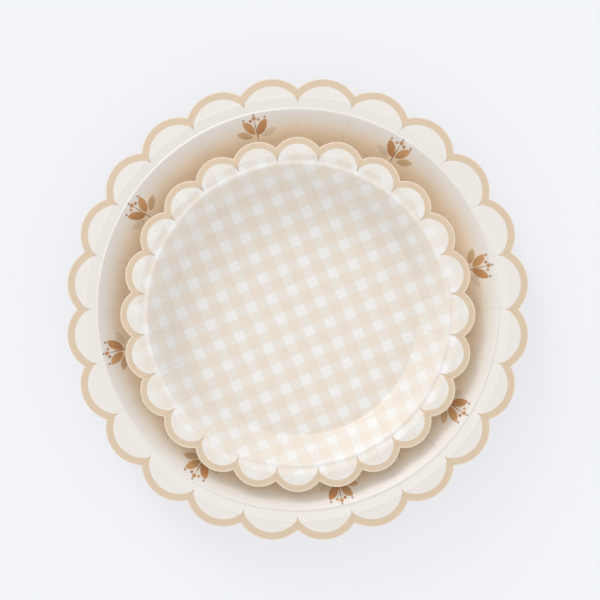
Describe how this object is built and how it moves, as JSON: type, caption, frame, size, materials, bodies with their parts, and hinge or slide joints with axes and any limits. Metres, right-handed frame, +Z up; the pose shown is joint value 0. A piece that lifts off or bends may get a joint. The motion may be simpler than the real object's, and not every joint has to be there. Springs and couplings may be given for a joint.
{
  "type": "stack of paper plates",
  "caption": "Small scalloped paperboard plate with a check print lying in a larger plain one, flat on the table.",
  "frame": {"origin": "middle of the dinner plate's foot, on the table", "axes": "+Z up out of the plates, +Y towards the top of the picture, against the dessert plate's offset"},
  "size_m": [0.2284, 0.2284, 0.0193],
  "materials": {
    "dinner_board": "pressed paperboard, cream print with a tan edge, satin lacquer",
    "dessert_board": "pressed paperboard, cream and white check with a tan edge, satin lacquer"
  },
  "bodies": {
    "root": {"dinner_plate": "dinner_board", "dessert_plate": "dessert_board"}
  },
  "joints": []
}
